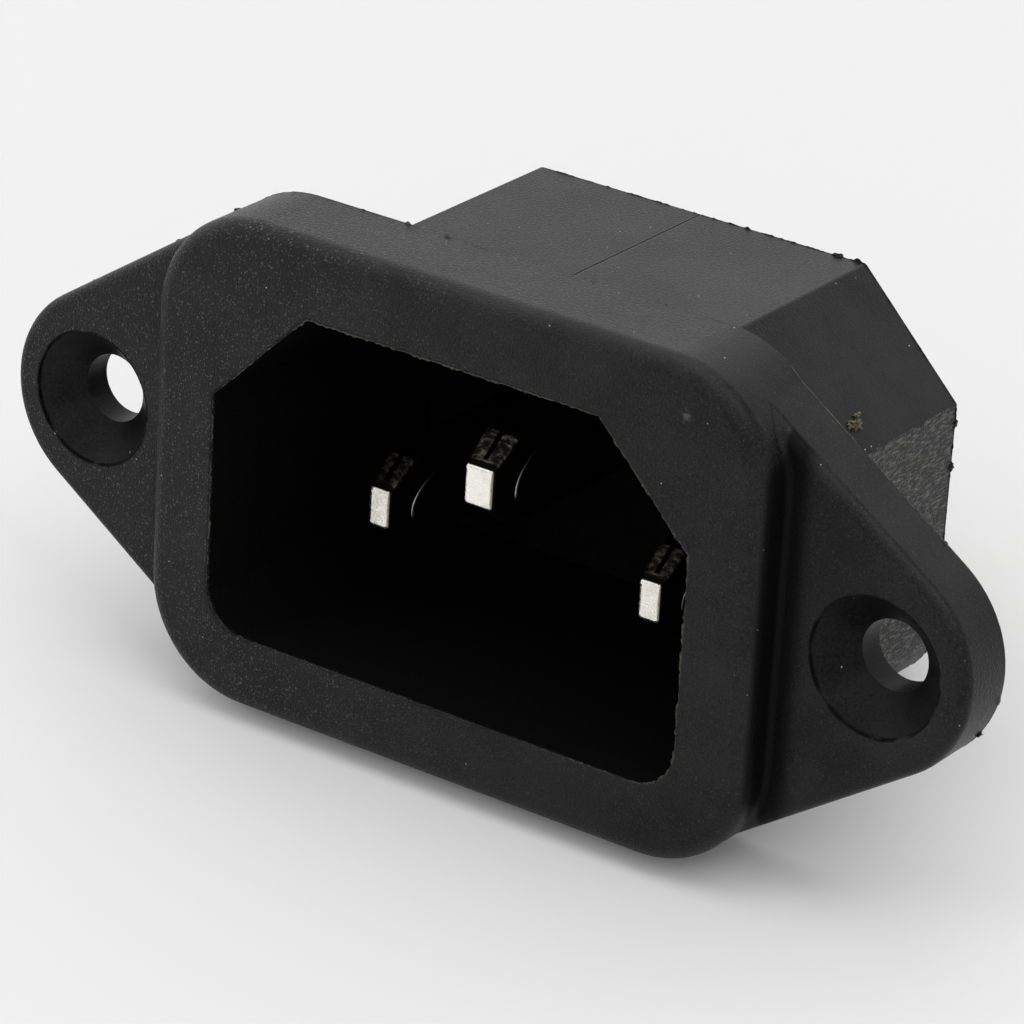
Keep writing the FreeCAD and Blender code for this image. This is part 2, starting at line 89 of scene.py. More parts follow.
class Graph:
    """Adds nodes to a node tree."""

    def __init__(self, tree: bpy.types.NodeTree) -> None:
        """Takes the tree to build in."""
        self.tree = tree

    def node(self, kind: str, settings: Optional[dict] = None, **inputs: object) -> bpy.types.Node:
        """Adds a node.

        Args:
            kind: Blender's name of the node type.
            settings: properties of the node itself.
            **inputs: values or sockets for its inputs, by name with _ for spaces.

        Returns:
            The new node.
        """
        made = self.tree.nodes.new(kind)
        for key, setting in (settings or {}).items():
            setattr(made, key, setting)
        for key, given in inputs.items():
            self.put(made.inputs[key.replace("_", " ")], given)
        return made

    def put(self, target: Socket, given: object) -> None:
        """Links a socket to an input, or sets the input's own value.

        Args:
            target: the input.
            given: a socket or a plain value.
        """
        if isinstance(given, bpy.types.NodeSocket):
            self.tree.links.new(given, target)
        else:
            target.default_value = given

    def math(self, operation: str, first: object, second: object = 0.0) -> Socket:
        """Adds a math node.

        Args:
            operation: Blender's name of the operation.
            first: a socket or a number.
            second: a socket or a number, for operations that take two.

        Returns:
            The result's socket.
        """
        made = self.node("ShaderNodeMath", {"operation": operation})
        self.put(made.inputs[0], first)
        self.put(made.inputs[1], second)
        return made.outputs[0]

    def product(self, *factors: object) -> Socket:
        """Multiplies sockets or numbers."""
        return reduce(lambda first, second: self.math("MULTIPLY", first, second), factors)

    def largest(self, *values: object) -> Socket:
        """Gives the largest of several sockets or numbers."""
        return reduce(lambda first, second: self.math("MAXIMUM", first, second), values)

    def left_of(self, share: Socket) -> Socket:
        """Gives what a share leaves of one."""
        return self.math("SUBTRACT", 1.0, share)

    def fade(self, value: Socket, ramp: Ramp) -> Socket:
        """Maps a value through a ramp.

        Args:
            value: socket to map.
            ramp: the ramp's ends.

        Returns:
            The mapped value's socket.
        """
        made = self.node("ShaderNodeMapRange", {"interpolation_type": "SMOOTHSTEP"}, Value=value)
        ends = {"From Min": ramp.low, "From Max": ramp.high, "To Min": ramp.start, "To Max": ramp.end}
        for key, number in ends.items():
            made.inputs[key].default_value = number
        return made.outputs["Result"]

    def compare(self, operation: str, first: Socket, second: Triple) -> Socket:
        """Compares a vector with a fixed one by a vector operation that gives a number.

        Args:
            operation: Blender's name of the operation.
            first: socket of the vector.
            second: the fixed vector.

        Returns:
            The number's socket.
        """
        made = self.node("ShaderNodeVectorMath", {"operation": operation})
        self.put(made.inputs[0], first)
        made.inputs[1].default_value = second
        return made.outputs["Value"]


class Finish(Graph):
    """The node graph of one material, with coordinates in millimetres."""

    def __init__(self, name: str) -> None:
        """Starts an empty material with a principled shader.

        Args:
            name: name of the material.
        """
        self.material = bpy.data.materials.new(name)
        self.material.use_nodes = True
        super().__init__(self.material.node_tree)
        self.tree.nodes.clear()
        self.shader = self.node("ShaderNodeBsdfPrincipled")
        output = self.node("ShaderNodeOutputMaterial")
        self.put(output.inputs["Surface"], self.shader.outputs["BSDF"])

    def shade(self, key: str, given: object) -> None:
        """Gives one input of the shader a value or a socket."""
        self.put(self.shader.inputs[key], given)

    def place(self, stretch: Triple = (1.0, 1.0, 1.0)) -> Socket:
        """Gives object coordinates in millimetres.

        Args:
            stretch: extra scale along each axis, to draw a pattern out.

        Returns:
            The vector socket.
        """
        coordinates = self.node("ShaderNodeTexCoord").outputs["Object"]
        scale = tuple(part / MM for part in stretch)
        return self.node("ShaderNodeMapping", Vector=coordinates, Scale=scale).outputs["Vector"]

    def split(self, vector: Socket) -> Sockets:
        """Gives the parts of a vector along X, Y and Z."""
        return self.node("ShaderNodeSeparateXYZ", Vector=vector).outputs

    def normal(self) -> Sockets:
        """Gives the parts of the surface's normal."""
        return self.split(self.node("ShaderNodeNewGeometry").outputs["Normal"])

    def noise(self, pattern: Pattern) -> Socket:
        """Adds a noise texture.

        Args:
            pattern: the texture's measures.

        Returns:
            Socket of a number around one half.
        """
        made = self.node("ShaderNodeTexNoise", Vector=self.place(pattern.stretch), Scale=pattern.per_mm,
                         Detail=pattern.detail, Roughness=pattern.roughness)
        return made.outputs["Fac"]

    def dots(self, specks: Specks) -> Socket:
        """Scatters round specks.

        Args:
            specks: the specks' measures.

        Returns:
            Share that is 1 on a speck.
        """
        cells = self.node("ShaderNodeTexVoronoi", Vector=self.place(), Scale=specks.per_mm)
        chance = self.node("ShaderNodeSeparateColor", Color=cells.outputs["Color"]).outputs["Red"]
        dot = self.fade(cells.outputs["Distance"], Ramp(specks.radius, specks.radius * specks.core_share))
        taken = self.fade(chance, Ramp(specks.rarity, specks.rarity + specks.rarity_width))
        return self.product(dot, taken)

    def blend(self, share: Socket, first: object, second: object) -> Socket:
        """Mixes two numbers.

        Args:
            share: share of the second, from 0 to 1.
            first: a socket or a number.
            second: a socket or a number.

        Returns:
            The mixed number's socket.
        """
        made = self.node("ShaderNodeMix", {"data_type": "FLOAT"}, Factor=share)
        self.put(made.inputs["A"], first)
        self.put(made.inputs["B"], second)
        return made.outputs["Result"]

    def tint(self, share: Socket, first: object, second: object) -> Socket:
        """Mixes two colours.

        Args:
            share: share of the second, from 0 to 1.
            first: a socket or a colour.
            second: a socket or a colour.

        Returns:
            The mixed colour's socket.
        """
        made = self.node("ShaderNodeMix", {"data_type": "RGBA"})
        ends = [item for item in made.inputs if item.enabled]
        for target, given in zip(ends, (share, first, second)):
            self.put(target, given)
        return next(item for item in made.outputs if item.enabled)

    def bump(self, height: Socket, depth: float, strength: float = 1.0) -> None:
        """Raises the surface by a height pattern of the given depth in millimetres."""
        made = self.node("ShaderNodeBump", Height=height, Strength=strength, Distance=depth * MM)
        self.shade("Normal", made.outputs["Normal"])


@dataclass(frozen=True)
class Spot:
    """A point of the moulding: its place, normal and grain, and shares of the zones it lies in."""

    where: Socket
    place: Sockets
    normal: Sockets
    grain: Socket
    radius: Socket
    ahead: Socket
    behind: Socket
    cone: Socket
    crown: Socket


@dataclass(frozen=True)
class MouldedPlastic:
    """Near-black moulding: spark-eroded grain outside, smooth cones, painted shade in the socket, round the
    countersinks and at the collar's foot, a little dust.

    Lengths and places are in millimetres.
    """

    name: str = "moulded_black_plastic"
    dark: Colour = (0.0020, 0.0020, 0.0022, 1.0)
    worn: Colour = (0.011, 0.011, 0.011, 1.0)
    speck: Colour = (0.068, 0.067, 0.064, 1.0)
    # drag marks on the side faces, lightened as painted light
    drag_marks_and_side_light: Colour = (0.115, 0.110, 0.104, 1.0)
    dust: Colour = (0.36, 0.35, 0.32, 1.0)
    seam: Colour = (0.068, 0.068, 0.068, 1.0)
    # painted shade: near-black colour for the socket, the line round each countersink and the collar's foot
    painted_shade_colour: Colour = (0.0035, 0.0035, 0.0035, 1.0)

    # zones of the moulding
    ahead: Ramp = Ramp(-0.6, -0.9)
    behind: Ramp = Ramp(-0.1, 0.05)
    screw_reach: float = 20.0
    countersink: Ramp = Ramp(3.02, 2.98)
    bore: Ramp = Ramp(1.65, 1.60)
    crown_height: Ramp = Ramp(8.9, 9.0)
    crown_start: Ramp = Ramp(0.25, 0.30)
    # walls and floor of the socket, which get painted shade
    mouth_half_width: float = 12.06
    mouth_half_height: float = 7.74
    mouth_keyed: float = 15.2
    mouth_front: Ramp = Ramp(-4.62, -4.42)
    mouth_floor: Ramp = Ramp(11.6, 11.5)
    # painted shade in the corner at the foot of the collar's right-hand end wall
    foot_across: tuple[Ramp, Ramp] = (Ramp(15.05, 15.3), Ramp(16.8, 15.9))
    foot_along: tuple[Ramp, Ramp] = (Ramp(-4.5, -4.1), Ramp(-2.4, -2.6))
    # painted shade: a broken dark line round the rim of each countersink
    groove_radius: float = 3.04
    groove_width: Ramp = Ramp(0.085, 0.045)
    groove_breaks: Pattern = Pattern(1.1)
    groove_left: Ramp = Ramp(0.3, 0.5)

    # relief of the grain
    grain: Pattern = Pattern(9.0, 3.0, 0.6)
    grain_depth: float = 0.13
    pits_per_mm: float = 11.7
    pit_share: float = 0.5
    grain_middle: float = 0.75
    calm_upward: Ramp = Ramp(0.3, 0.7, 1.0, 0.32)
    calm_right: Ramp = Ramp(-3.0, 14.0, 1.0, 0.2)
    cone_waves: Pattern = Pattern(1.6)
    cone_wave_share: float = 0.1

    # wear, mould line, drag marks lightened as painted light on the side faces, rubbed spot and dust
    cloud: Pattern = Pattern(0.3, 4.0, 0.6)
    cloud_share: float = 0.45
    patina: Ramp = Ramp(0.38, 0.62)
    worn_left: Ramp = Ramp(6.0, -12.0, 0.2, 1.0)
    worn_front: Ramp = Ramp(-0.1, 0.05, 1.0, 0.4)
    seam_width: Ramp = Ramp(0.11, 0.075)
    flank_facing: Ramp = Ramp(0.8, 0.95)
    drag: Pattern = Pattern(8.0, 3.0, 0.75, (1.0, 0.25, 1.0))
    drag_share: Ramp = Ramp(0.45, 0.7)
    scuff: Triple = (11.5, -4.65, 8.95)
    scuff_reach: Ramp = Ramp(0.75, 0.45)
    scuff_edge: Pattern = Pattern(3.5, 3.0)
    scuff_edge_share: float = 0.9
    sparks: tuple[Specks, Specks] = (Specks(3.7, 0.26, 0.72), Specks(8.3, 0.36, 0.5))
    loose_dust: Specks = Specks(1.5, 0.065, 0.70)
    settled_dust: Specks = Specks(2.3, 0.08, 0.80)

    # gloss
    roughness: Ramp = Ramp(0.3, 0.7, 0.32, 0.5)
    cone_roughness: float = 0.4
    front_sheen: Ramp = Ramp(-8.0, 14.0, 0.195, 0.170)
    rear_sheen: float = 0.175
    cone_dulling: float = 0.5
    # reflection strength where shade is painted
    black_sheen: float = 0.05

    def build(self) -> bpy.types.Material:
        """Makes the material.

        Returns:
            The finished material.
        """
        finish = Finish(self.name)
        spot = self.read(finish)
        # painted shade: socket, countersink rims and the collar's foot turn near-black and lose most of
        # their reflection
        black = finish.largest(self.inside_share(finish, spot), self.countersink_rim_shade_share(finish, spot),
                               self.collar_foot_shade_share(finish, spot))
        finish.bump(self.relief(finish, spot), self.grain_depth)
        finish.shade("Base Color", finish.tint(black, self.colour(finish, spot), self.painted_shade_colour))
        rough = finish.fade(spot.grain, self.roughness)
        finish.shade("Roughness", finish.blend(spot.cone, rough, self.cone_roughness))
        finish.shade("Specular IOR Level", finish.blend(black, self.sheen(finish, spot), self.black_sheen))
        return finish.material

    def read(self, finish: Finish) -> Spot:
        """Finds out where on the moulding a point lies.

        Args:
            finish: graph of the material.

        Returns:
            The point's sockets.
        """
        where = finish.place()
        place = finish.split(where)
        across = finish.math("SUBTRACT", finish.math("ABSOLUTE", place["X"]), self.screw_reach)
        squares = (finish.math("POWER", side, 2.0) for side in (across, place["Z"]))
        radius = finish.math("SQRT", finish.math("ADD", *squares))
        ahead = finish.fade(place["Y"], self.ahead)
        cone = finish.product(finish.fade(radius, self.countersink), ahead)
        crown = finish.product(finish.fade(place["Z"], self.crown_height),
                               finish.fade(place["Y"], self.crown_start))
        return Spot(where=where, place=place, normal=finish.normal(), grain=finish.noise(self.grain),
                    radius=radius, ahead=ahead, behind=finish.fade(place["Y"], self.behind),
                    cone=finish.largest(cone, finish.fade(radius, self.bore)), crown=crown)

    def relief(self, finish: Finish, spot: Spot) -> Socket:
        """Gives the height of the surface: pitted grain, calmer on top and to the right, smooth cones.

        Args:
            finish: graph of the material.
            spot: the point.

        Returns:
            The height's socket.
        """
        pits = finish.node("ShaderNodeTexVoronoi", {"feature": "SMOOTH_F1"}, Vector=spot.where,
                           Scale=self.pits_per_mm)
        pitted = finish.math("ADD", spot.grain, finish.product(pits.outputs["Distance"], self.pit_share))
        eroded = finish.product(finish.math("SUBTRACT", pitted, self.grain_middle),
                                finish.fade(spot.normal["Z"], self.calm_upward),
                                finish.fade(spot.place["X"], self.calm_right))
        smooth = finish.product(finish.noise(self.cone_waves), self.cone_wave_share)
        return finish.blend(spot.cone, eroded, smooth)

    def colour(self, finish: Finish, spot: Spot) -> Socket:
        """Lays wear, mould line, drag marks lightened as painted light on the side faces, rubbed spot and
        dust over the dark plastic.

        Args:
            finish: graph of the material.
            spot: the point.

        Returns:
            The colour's socket.
        """
        cloud = finish.product(finish.noise(self.cloud), self.cloud_share)
        patina = finish.math("ADD", cloud, finish.product(spot.grain, 1.0 - self.cloud_share))
        line = finish.fade(finish.math("ABSOLUTE", spot.place["X"]), self.seam_width)
        flank = finish.fade(finish.math("ABSOLUTE", spot.normal["X"]), self.flank_facing)
        drag = finish.fade(finish.noise(self.drag), self.drag_share)
        sparks = finish.largest(*(finish.dots(specks) for specks in self.sparks))
        worn_side = finish.product(finish.fade(spot.place["X"], self.worn_left),
                                   finish.fade(spot.place["Y"], self.worn_front))
        layers = (
            (finish.fade(patina, self.patina), self.worn),
            (finish.product(line, spot.crown), self.seam),
            # drag marks on the side faces, lightened as painted light
            (finish.product(drag, flank, spot.behind), self.drag_marks_and_side_light),
            (self.scuff_share(finish, spot), self.speck),
            (finish.product(sparks, worn_side, finish.left_of(spot.cone)), self.speck),
            (finish.dots(self.loose_dust), self.dust),
            (finish.product(finish.dots(self.settled_dust), spot.crown), self.dust),
        )
        base = self.dark
        for share, colour in layers:
            base = finish.tint(share, base, colour)
        return base

    def sheen(self, finish: Finish, spot: Spot) -> Socket:
        """Gives the strength of the reflection, lower in the cones.

        Args:
            finish: graph of the material.
            spot: the point.

        Returns:
            The strength's socket.
        """
        front = finish.fade(spot.place["X"], self.front_sheen)
        dulled = finish.left_of(finish.product(spot.cone, self.cone_dulling))
        return finish.product(finish.blend(spot.behind, front, self.rear_sheen), dulled)

    def scuff_share(self, finish: Finish, spot: Spot) -> Socket:
        """Finds a pale rubbed spot of the collar.

        Args:
            finish: graph of the material.
            spot: the point.

        Returns:
            Share that is 1 on the spot.
        """
        apart = finish.compare("DISTANCE", spot.where, self.scuff)
        patchy = finish.product(finish.noise(self.scuff_edge), self.scuff_edge_share)
        return finish.fade(finish.math("ADD", apart, patchy), self.scuff_reach)

    def countersink_rim_shade_share(self, finish: Finish, spot: Spot) -> Socket:
        """Finds the broken dark line of painted shade round each countersink.

        Args:
            finish: graph of the material.
            spot: the point.

        Returns:
            Share that is 1 in the line.
        """
        gap = finish.math("ABSOLUTE", finish.math("SUBTRACT", spot.radius, self.groove_radius))
        broken = finish.fade(finish.noise(self.groove_breaks), self.groove_left)
        return finish.product(finish.fade(gap, self.groove_width), broken, spot.ahead)

    def collar_foot_shade_share(self, finish: Finish, spot: Spot) -> Socket:
        """Finds the corner where the collar's right-hand end wall meets the wing, darkened as painted
        shade.

        Args:
            finish: graph of the material.
            spot: the point.

        Returns:
            Share that is 1 in the corner.
        """
        across = (finish.fade(spot.place["X"], ramp) for ramp in self.foot_across)
        along = (finish.fade(spot.place["Y"], ramp) for ramp in self.foot_along)
        return finish.product(*across, *along)

    def inside_share(self, finish: Finish, spot: Spot) -> Socket:
        """Finds the walls and floor of the socket, which get painted shade.

        Args:
            finish: graph of the material.
            spot: the point.

        Returns:
            Share that is 1 inside the socket.
        """
        width = finish.math("ABSOLUTE", spot.place["X"])
        height = finish.math("ABSOLUTE", spot.place["Z"])
        corner = finish.math("ADD", width, spot.place["Z"])
        return finish.product(finish.math("LESS_THAN", width, self.mouth_half_width),
                              finish.math("LESS_THAN", height, self.mouth_half_height),
                              finish.math("LESS_THAN", corner, self.mouth_keyed),
                              finish.fade(spot.place["Y"], self.mouth_front),
                              finish.fade(spot.place["Y"], self.mouth_floor))


@dataclass(frozen=True)
class PlatedStrip:
    """Bright plated strip: polished nose, sheared bevel painted lit on top, painted shade in the socket
    with a painted highlight, clean tab.

    Lengths are in millimetres, and depths count from the tip.
    """

    name: str
    tip: float
    middle: float
    bright: Colour = (0.93, 0.91, 0.85, 1.0)
    dull: Colour = (0.76, 0.73, 0.66, 1.0)
    # painted shade on the nose's right-hand side
    nose_side_shade: Colour = (0.22, 0.21, 0.14, 1.0)
    # painted shade on the strip inside the socket
    shank_shade: Colour = (0.012, 0.011, 0.010, 1.0)
    sheared: Colour = (0.020, 0.018, 0.015, 1.0)
    torn: Colour = (0.42, 0.39, 0.33, 1.0)
    # painted highlight along the coining edge
    coin_highlight: Colour = (0.85, 0.84, 0.82, 1.0)
    # painted shade: dark reflection tint inside the socket
    socket_reflection_shade: Colour = (0.02, 0.02, 0.02, 1.0)

    # zones along the strip
    nose_facing: Ramp = Ramp(0.72, 0.90)
    past_tip: Ramp = Ramp(0.01, 0.06)
    socket_floor: Ramp = Ramp(11.55, 11.35)
    # upward-facing bevel faces get painted light
    upward: Ramp = Ramp(0.35, 0.6)
    edge_start: Ramp = Ramp(0.26, 0.42)
    near_tip: Ramp = Ramp(0.8, 0.5)
    right_facing: Ramp = Ramp(0.12, 0.45)
    # painted shade that deepens further behind the tip
    deep: Ramp = Ramp(1.3, 2.1, 0.0, 0.9)

    # plating and shear marks
    scratches: Pattern = Pattern(9.0, 3.0, 0.6, (1.0, 0.12, 1.0))
    stains: Pattern = Pattern(1.3, 3.0)
    stain_share: Ramp = Ramp(0.5, 0.75)
    tears: Pattern = Pattern(1.7, 4.0, 0.75, (1.6, 1.0 / 0.26, 1.0))
    tear_share: Ramp = Ramp(0.44, 0.74)

    # painted highlight along the curved line left by coining on the right-hand side
    coin_depth: float = 1.5
    coin_foot: float = 0.5
    coin_curve: float = 0.42
    coin_width: Ramp = Ramp(0.10, 0.02)
    coin_low: Ramp = Ramp(-0.35, 0.0)
    coin_high: Ramp = Ramp(1.9, 0.2)
    coin_facing: Ramp = Ramp(0.6, 0.8)

    # gloss and relief
    roughness: Ramp = Ramp(0.3, 0.7, 0.18, 0.34)
    hidden_roughness: float = 0.45
    scratch_share: float = 0.25
    coin_share: float = 2.0
    relief_depth: float = 0.04
    relief_strength: float = 0.9

    def build(self) -> bpy.types.Material:
        """Makes the material.

        Returns:
            The finished material.
        """
        finish = Finish(self.name)
        place = finish.split(finish.place())
        normal = finish.normal()
        depth = finish.math("SUBTRACT", place["Y"], self.tip)
        within = finish.product(finish.fade(depth, self.past_tip),
                                finish.fade(place["Y"], self.socket_floor))
        ahead = finish.fade(finish.product(normal["Y"], -1.0), self.nose_facing)
        # inside the socket the sides get painted shade and painted light instead of the plating
        hidden = finish.product(within, finish.left_of(ahead))
        # painted light on the upward-facing bevel, where the shear marks show
        upper_bevel_lit = finish.product(finish.fade(normal["Z"], self.upward),
                                  finish.fade(depth, self.edge_start))
        tears = finish.noise(self.tears)
        # painted highlight along the coining edge
        arc = self.coin_highlight_share(finish, place, normal, depth)

        stained = finish.fade(finish.noise(self.stains), self.stain_share)
        # painted shade on the nose's right-hand side
        turned = finish.product(finish.fade(normal["X"], self.right_facing),
                                finish.fade(depth, self.near_tip))
        plated = finish.tint(turned, finish.tint(stained, self.bright, self.dull), self.nose_side_shade)
        torn = finish.tint(finish.fade(tears, self.tear_share), self.sheared, self.torn)
        # sides in the socket: painted light on the upper bevel, painted shade elsewhere and deeper in,
        # painted highlight along the coining edge
        sides = finish.tint(upper_bevel_lit, self.shank_shade, torn)
        sides = finish.tint(finish.fade(depth, self.deep), sides, self.shank_shade)
        sides = finish.tint(arc, sides, self.coin_highlight)
        finish.shade("Base Color", finish.tint(hidden, plated, sides))
        # painted shade: dark reflection tint inside the socket
        finish.shade("Specular Tint", finish.tint(hidden, self.bright, self.socket_reflection_shade))

        scratches = finish.noise(self.scratches)
        rough = finish.fade(scratches, self.roughness)
        finish.shade("Roughness", finish.blend(hidden, rough, self.hidden_roughness))
        finish.shade("Metallic", 1.0)
        marks = finish.math("ADD", finish.product(tears, upper_bevel_lit, within),
                            finish.product(arc, self.coin_share))
        height = finish.math("ADD", finish.product(scratches, self.scratch_share), marks)
        finish.bump(height, self.relief_depth, self.relief_strength)
        return finish.material

    def coin_highlight_share(self, finish: Finish, place: Sockets, normal: Sockets, depth: Socket) -> Socket:
        """Finds the painted highlight along the curved coining line.

        Args:
            finish: graph of the material.
            place: parts of the place.
            normal: parts of the normal.
            depth: depth behind the tip.

        Returns:
            Share that is 1 on the line.
        """
        above = finish.math("SUBTRACT", place["Z"], self.middle - self.coin_foot)
        square = finish.math("POWER", finish.math("ABSOLUTE", above), 2.0)
        line = finish.math("ADD", finish.product(square, self.coin_curve), self.coin_depth)
        apart = finish.math("ABSOLUTE", finish.math("SUBTRACT", depth, line))
        return finish.product(finish.fade(apart, self.coin_width),
                              finish.fade(above, self.coin_low),
                              finish.fade(above, self.coin_high),
                              finish.fade(normal["X"], self.coin_facing))


@dataclass
class Housing:
    """The moulded housing, dressed in its finish."""

    node: str = "housing"
    finish: MouldedPlastic = field(default_factory=MouldedPlastic)

    def dress(self) -> bpy.types.Material:
        """Puts the finish on the CAD node.

        Returns:
            The material, for pieces moulded with the housing.
        """
        material = self.finish.build()
        put_finish(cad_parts[self.node], material)
        return material


@dataclass
class ContactPins:
    """The three folded pins, dressed in their plating."""

    short_pins: tuple[str, ...] = ("line_pin", "neutral_pin")
    long_pin: str = "earth_pin"
    # darker shear marks for the short pins, as painted shade deeper in the socket
    short_pin_shaded_tear: Colour = (0.24, 0.22, 0.17, 1.0)

    def dress(self) -> None:
        """Puts the plating on each CAD node, with the tip of each at its own place."""
        for name in (*self.short_pins, self.long_pin):
            low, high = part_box(name)
            middle = (low.z + high.z) / 2
            finish = PlatedStrip(f"plating_{name}", low.y / MM, middle / MM)
            # short pins get their shear marks darkened as painted shade
            if name in self.short_pins:
                finish = replace(finish, torn=self.short_pin_shaded_tear)
            put_finish(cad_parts[name], finish.build())
            LOG.info("%s dressed", name)


class Outline(Enum):
    """Which closed line of a section of the housing is meant."""

    OUTER = "outer"
    MOUTH = "mouth"


@dataclass
class FlashRidge:
    """Ragged flash along one edge of the moulding, grown from a section of the housing."""

    name: str
    section_mm: float
    outline: Outline
    reach_mm: float
    lean_mm: float
    width_mm: float = 0.10
    step_mm: float = 0.08
    sink_mm: float = 0.04
    spike_mm: float = 0.12
    seed: float = 0.0
    weld_m: float = 1e-7
    mean_rise: float = 0.35
    waves: tuple[tuple[float, float], ...] = ((0.7, 0.9), (0.7, 3.7), (0.5, 8.3))
    spikes_per_mm: float = 1.9
    spike_shift: Triple = (9.0, 3.0, 5.0)
    spike_level: float = 0.42
    spike_gain: float = 4.0

    def trace(self) -> bmesh.types.BMesh:
        """Cuts a copy of the housing and keeps one closed line of the section.

        Returns:
            A bmesh that holds only that line, in short steps.
        """
        shape = bmesh.new()
        shape.from_mesh(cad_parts["housing"].data)
        bmesh.ops.remove_doubles(shape, verts=shape.verts, dist=self.weld_m)
        geometry = shape.verts[:] + shape.edges[:] + shape.faces[:]
        level = (0, self.section_mm * MM, 0)
        cut = bmesh.ops.bisect_plane(shape, geom=geometry, plane_co=level, plane_no=(0, 1, 0))["geom_cut"]
        edges = {item for item in cut if isinstance(item, bmesh.types.BMEdge)}
        lines = []
        while edges:
            lines.append(take_line(edges))
        pick = max if self.outline is Outline.OUTER else min
        chosen = pick(lines, key=lambda line: max(vert.co.x for edge in line for vert in edge.verts))
        kept = {vert for edge in chosen for vert in edge.verts}
        bmesh.ops.delete(shape, geom=[vert for vert in shape.verts if vert not in kept], context="VERTS")
        bmesh.ops.delete(shape, geom=shape.faces[:], context="FACES_ONLY")
        stray = [edge for edge in shape.edges if edge not in chosen]
        bmesh.ops.delete(shape, geom=stray, context="EDGES")
        for edge in shape.edges[:]:
            cuts = int(edge.calc_length() / (self.step_mm * MM))
            if cuts:
                bmesh.ops.subdivide_edges(shape, edges=[edge], cuts=cuts)
        return shape

    def outward(self, vert: bmesh.types.BMVert) -> Vector:
        """Finds the direction out of the material in the section's plane.

        Args:
            vert: point of the line.

        Returns:
            The direction, of length one.
        """
        ends = [edge.other_vert(vert).co for edge in vert.link_edges]
        side = (ends[1] - ends[0]).cross(Vector((0, 1, 0))).normalized()
        away = side if side.dot(vert.co) > 0 else -side
        return away if self.outline is Outline.OUTER else -away

    def height(self, place: Vector) -> float:
        """Finds how far the flash stands out.

        Args:
            place: point of the line, in metres.

        Returns:
            The height in millimetres.
        """
        at = place / MM + Vector((self.seed, self.seed, 0))
        rise = self.mean_rise
        for share, per_mm in self.waves:
            rise += share * noise.noise(at * per_mm)
        peak = noise.noise(at * self.spikes_per_mm + Vector(self.spike_shift)) - self.spike_level
        spike = max(0.0, peak) * self.spike_gain * self.spike_mm
        return self.reach_mm * min(1.0, max(0.0, rise)) + spike

    def build(self, material: bpy.types.Material) -> bpy.types.Object:
        """Grows the flash.

        Args:
            material: finish of the flash.

        Returns:
            The finished piece.
        """
        shape = self.trace()
        root = shape.edges[:]
        outward = {vert: self.outward(vert) for vert in shape.verts}
        heights = {vert: self.height(vert.co) for vert in shape.verts}
        lean = Vector((0, self.lean_mm, 0))
        crest = self.grow(shape, root, lambda vert: outward[vert] * heights[vert] + lean)
        heel = self.grow(shape, root, lambda vert: Vector((0, self.width_mm, 0)))
        for vert in outward:
            vert.co -= outward[vert] * self.sink_mm * MM
        for vert in {vert for edge in heel for vert in edge.verts}:
            vert.co -= self.near(vert, outward) * self.sink_mm * MM
        bmesh.ops.bridge_loops(shape, edges=crest + heel)
        bmesh.ops.recalc_face_normals(shape, faces=shape.faces)
        settle_faces(shape)
        return join_housing(finish_mesh(shape, self.name), material)

    def near(self, vert: bmesh.types.BMVert, outward: dict) -> Vector:
        """Outward direction of the line's point that a grown point came from."""
        return next(outward[end] for edge in vert.link_edges for end in edge.verts if end in outward)

    def grow(self, shape: bmesh.types.BMesh, root: list, move: Callable) -> list:
        """Extrudes the line and moves each new point.

        Args:
            shape: the bmesh.
            root: edges of the line.
            move: gives the shift in millimetres for a point of the line.

        Returns:
            The new edges.
        """
        old = {vert for edge in root for vert in edge.verts}
        made = bmesh.ops.extrude_edge_only(shape, edges=root)["geom"]
        fresh = {item for item in made if isinstance(item, bmesh.types.BMVert)}
        for vert in fresh:
            source = next(edge.other_vert(vert) for edge in vert.link_edges if edge.other_vert(vert) in old)
            vert.co = source.co + move(source) * MM
        return [edge for edge in shape.edges if set(edge.verts) <= fresh]


def take_line(edges: set) -> set:
    """Takes one connected line of edges out of a set.

    Args:
        edges: edges to choose from; the line is removed from it.

    Returns:
        The edges of the line.
    """
    line = {edges.pop()}
    front = list(line)
    while front:
        current = front.pop()
        for vert in current.verts:
            for edge in vert.link_edges:
                if edge in edges:
                    edges.remove(edge)
                    line.add(edge)
                    front.append(edge)
    return line


def settle_faces(shape: bmesh.types.BMesh) -> None:
    """Sorts the faces by their points, because extruding leaves them in no fixed order.

    Args:
        shape: the bmesh.
    """
    shape.verts.index_update()
    ordered = sorted(shape.faces, key=lambda face: sorted(vert.index for vert in face.verts))
    for rank, face in enumerate(ordered):
        face.index = rank
    shape.faces.sort(key=lambda face: face.index)


@dataclass(frozen=True)
class Crumb:
    """One bit of flash or dust: its place and its half sizes, in millimetres."""

    place: Triple
    size: Triple


